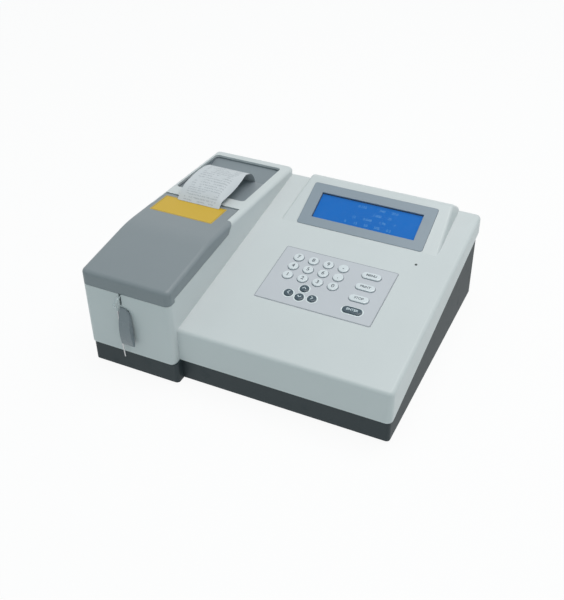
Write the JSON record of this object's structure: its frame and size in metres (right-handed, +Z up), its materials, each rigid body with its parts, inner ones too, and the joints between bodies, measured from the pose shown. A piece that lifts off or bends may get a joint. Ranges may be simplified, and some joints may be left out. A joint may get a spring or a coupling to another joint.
{
  "type": "semi-automatic chemistry analyzer",
  "caption": "Bench chemistry analyzer: low two-tone housing with a lidded sample tower, aspirate key and probe, strip printer, tilted blue display and desk keypad.",
  "frame": {"origin": "centre of the bounding box's footprint, at the underside of the rubber feet", "axes": "+Z up; the front with the aspirate key and the desk's low edge faces -Y; +X to the right of a person in front of it"},
  "size_m": [0.368, 0.3431, 0.149],
  "materials": {
    "housing_white": "satin",
    "base_dark": "matte",
    "lid_grey": "satin",
    "panel_grey": "matte",
    "key_white": "gloss",
    "key_dark": "gloss",
    "display_blue": "gloss",
    "clear_tube": "gloss",
    "steel": "brushed",
    "alloy": "satin",
    "board_green": "satin",
    "black_plastic": "matte",
    "rubber": "matte",
    "paper": "matte"
  },
  "bodies": {
    "root": {"upper_shell": "housing_white", "base_pan": "base_dark", "hinge_pins": "steel", "display_bezel": "panel_grey", "lcd_glass": "display_blue", "lcd_module": "steel", "keypad_panel": "panel_grey", "keypad_board": "board_green", "status_lamp": "key_dark", "aspirate_switch": "black_plastic", "sample_probe": "steel", "sample_tube": "clear_tube", "sample_deck": "alloy", "optics_block": "alloy", "flow_cell": "black_plastic", "filter_motor": "steel", "lamp_module": "alloy", "detector_board": "board_green", "pump_housing": "black_plastic", "pump_motor": "steel", "pump_tube": "clear_tube", "printer_tray": "base_dark", "printer_mechanism": "steel", "paper_strip": "paper", "fan_frame": "black_plastic", "serial_port": "steel", "power_inlet": "black_plastic", "waste_fitting": "steel", "main_board": "board_green", "power_supply": "alloy", "rubber_feet": "rubber", "housing_screws": "steel"},
    "lid": {"sample_lid": "lid_grey"},
    "aspirate": {"aspirate_key": "lid_grey"},
    "rocker": {"switch_rocker": "black_plastic"},
    "fan": {"fan_rotor": "black_plastic"},
    "pump": {"pump_rotor": "key_white"},
    "wheel": {"filter_wheel": "black_plastic"},
    "roll": {"paper_roll": "paper"},
    "platen": {"platen_roller": "rubber"},
    "key_1_cap": {"key_1": "key_white"},
    "key_2_cap": {"key_2": "key_white"},
    "key_3_cap": {"key_3": "key_white"},
    "key_4_cap": {"key_4": "key_white"},
    "key_5_cap": {"key_5": "key_white"},
    "key_6_cap": {"key_6": "key_white"},
    "key_7_cap": {"key_7": "key_white"},
    "key_8_cap": {"key_8": "key_white"},
    "key_9_cap": {"key_9": "key_white"},
    "key_0_cap": {"key_0": "key_white"},
    "key_point_cap": {"key_point": "key_white"},
    "key_minus_cap": {"key_minus": "key_white"},
    "key_left_cap": {"key_left": "key_dark"},
    "key_up_cap": {"key_up": "key_dark"},
    "key_down_cap": {"key_down": "key_dark"},
    "key_right_cap": {"key_right": "key_dark"},
    "key_menu_cap": {"key_menu": "key_white"},
    "key_print_cap": {"key_print": "key_white"},
    "key_stop_cap": {"key_stop": "key_white"},
    "key_enter_cap": {"key_enter": "key_dark"}
  },
  "joints": [
    {"name": "lid_hinge", "type": "hinge", "parent": "root", "child": "lid", "pos_m": [-0.127, 0.013, 0.1302], "axis": [-1, 0, 0], "range_deg": [0, 75], "deforming": ["paper_strip"]},
    {"name": "aspirate_swing", "type": "hinge", "parent": "root", "child": "aspirate", "pos_m": [-0.1275, -0.156, 0.085], "axis": [1, 0, 0], "range_deg": [0, 4], "stiffness_Nm_per_rad": 0.4, "springref_deg": -2.86},
    {"name": "power_rocker", "type": "hinge", "parent": "root", "child": "rocker", "pos_m": [0.092, 0.1525, 0.044], "axis": [-1, 0, 0], "range_deg": [0, 18]},
    {"name": "fan_spin", "type": "hinge", "parent": "root", "child": "fan", "pos_m": [-0.092, 0.141, 0.048], "axis": [0, 1, 0], "continuous": true},
    {"name": "pump_spin", "type": "hinge", "parent": "root", "child": "pump", "pos_m": [-0.146, -0.035, 0.099], "axis": [0, 0, 1], "continuous": true},
    {"name": "filter_turn", "type": "hinge", "parent": "root", "child": "wheel", "pos_m": [-0.131, -0.103, 0.046], "axis": [1, 0, 0], "continuous": true},
    {"name": "roll_turn", "type": "hinge", "parent": "root", "child": "roll", "pos_m": [-0.1285, 0.066, 0.092], "axis": [1, 0, 0], "continuous": true},
    {"name": "platen_turn", "type": "hinge", "parent": "root", "child": "platen", "pos_m": [-0.1285, 0.096, 0.10407], "axis": [1, 0, 0], "continuous": true},
    {"name": "key_1_press", "type": "slide", "parent": "root", "child": "key_1_cap", "axis": [0, 0.1358, -0.9907], "range_m": [0, 0.0008], "stiffness_N_per_m": 300, "springref_m": -0.0008},
    {"name": "key_2_press", "type": "slide", "parent": "root", "child": "key_2_cap", "axis": [0, 0.1358, -0.9907], "range_m": [0, 0.0008], "stiffness_N_per_m": 300, "springref_m": -0.0008},
    {"name": "key_3_press", "type": "slide", "parent": "root", "child": "key_3_cap", "axis": [0, 0.1358, -0.9907], "range_m": [0, 0.0008], "stiffness_N_per_m": 300, "springref_m": -0.0008},
    {"name": "key_4_press", "type": "slide", "parent": "root", "child": "key_4_cap", "axis": [0, 0.1358, -0.9907], "range_m": [0, 0.0008], "stiffness_N_per_m": 300, "springref_m": -0.0008},
    {"name": "key_5_press", "type": "slide", "parent": "root", "child": "key_5_cap", "axis": [0, 0.1358, -0.9907], "range_m": [0, 0.0008], "stiffness_N_per_m": 300, "springref_m": -0.0008},
    {"name": "key_6_press", "type": "slide", "parent": "root", "child": "key_6_cap", "axis": [0, 0.1358, -0.9907], "range_m": [0, 0.0008], "stiffness_N_per_m": 300, "springref_m": -0.0008},
    {"name": "key_7_press", "type": "slide", "parent": "root", "child": "key_7_cap", "axis": [0, 0.1358, -0.9907], "range_m": [0, 0.0008], "stiffness_N_per_m": 300, "springref_m": -0.0008},
    {"name": "key_8_press", "type": "slide", "parent": "root", "child": "key_8_cap", "axis": [0, 0.1358, -0.9907], "range_m": [0, 0.0008], "stiffness_N_per_m": 300, "springref_m": -0.0008},
    {"name": "key_9_press", "type": "slide", "parent": "root", "child": "key_9_cap", "axis": [0, 0.1358, -0.9907], "range_m": [0, 0.0008], "stiffness_N_per_m": 300, "springref_m": -0.0008},
    {"name": "key_0_press", "type": "slide", "parent": "root", "child": "key_0_cap", "axis": [0, 0.1358, -0.9907], "range_m": [0, 0.0008], "stiffness_N_per_m": 300, "springref_m": -0.0008},
    {"name": "key_point_press", "type": "slide", "parent": "root", "child": "key_point_cap", "axis": [0, 0.1358, -0.9907], "range_m": [0, 0.0008], "stiffness_N_per_m": 300, "springref_m": -0.0008},
    {"name": "key_minus_press", "type": "slide", "parent": "root", "child": "key_minus_cap", "axis": [0, 0.1358, -0.9907], "range_m": [0, 0.0008], "stiffness_N_per_m": 300, "springref_m": -0.0008},
    {"name": "key_left_press", "type": "slide", "parent": "root", "child": "key_left_cap", "axis": [0, 0.1358, -0.9907], "range_m": [0, 0.0008], "stiffness_N_per_m": 300, "springref_m": -0.0008},
    {"name": "key_up_press", "type": "slide", "parent": "root", "child": "key_up_cap", "axis": [0, 0.1358, -0.9907], "range_m": [0, 0.0008], "stiffness_N_per_m": 300, "springref_m": -0.0008},
    {"name": "key_down_press", "type": "slide", "parent": "root", "child": "key_down_cap", "axis": [0, 0.1358, -0.9907], "range_m": [0, 0.0008], "stiffness_N_per_m": 300, "springref_m": -0.0008},
    {"name": "key_right_press", "type": "slide", "parent": "root", "child": "key_right_cap", "axis": [0, 0.1358, -0.9907], "range_m": [0, 0.0008], "stiffness_N_per_m": 300, "springref_m": -0.0008},
    {"name": "key_menu_press", "type": "slide", "parent": "root", "child": "key_menu_cap", "axis": [0, 0.1358, -0.9907], "range_m": [0, 0.0008], "stiffness_N_per_m": 300, "springref_m": -0.0008},
    {"name": "key_print_press", "type": "slide", "parent": "root", "child": "key_print_cap", "axis": [0, 0.1358, -0.9907], "range_m": [0, 0.0008], "stiffness_N_per_m": 300, "springref_m": -0.0008},
    {"name": "key_stop_press", "type": "slide", "parent": "root", "child": "key_stop_cap", "axis": [0, 0.1358, -0.9907], "range_m": [0, 0.0008], "stiffness_N_per_m": 300, "springref_m": -0.0008},
    {"name": "key_enter_press", "type": "slide", "parent": "root", "child": "key_enter_cap", "axis": [0, 0.1358, -0.9907], "range_m": [0, 0.0008], "stiffness_N_per_m": 300, "springref_m": -0.0008}
  ],
  "couplings": [
    {"joint": "platen_turn", "follows": "roll_turn", "ratio": 4}
  ]
}
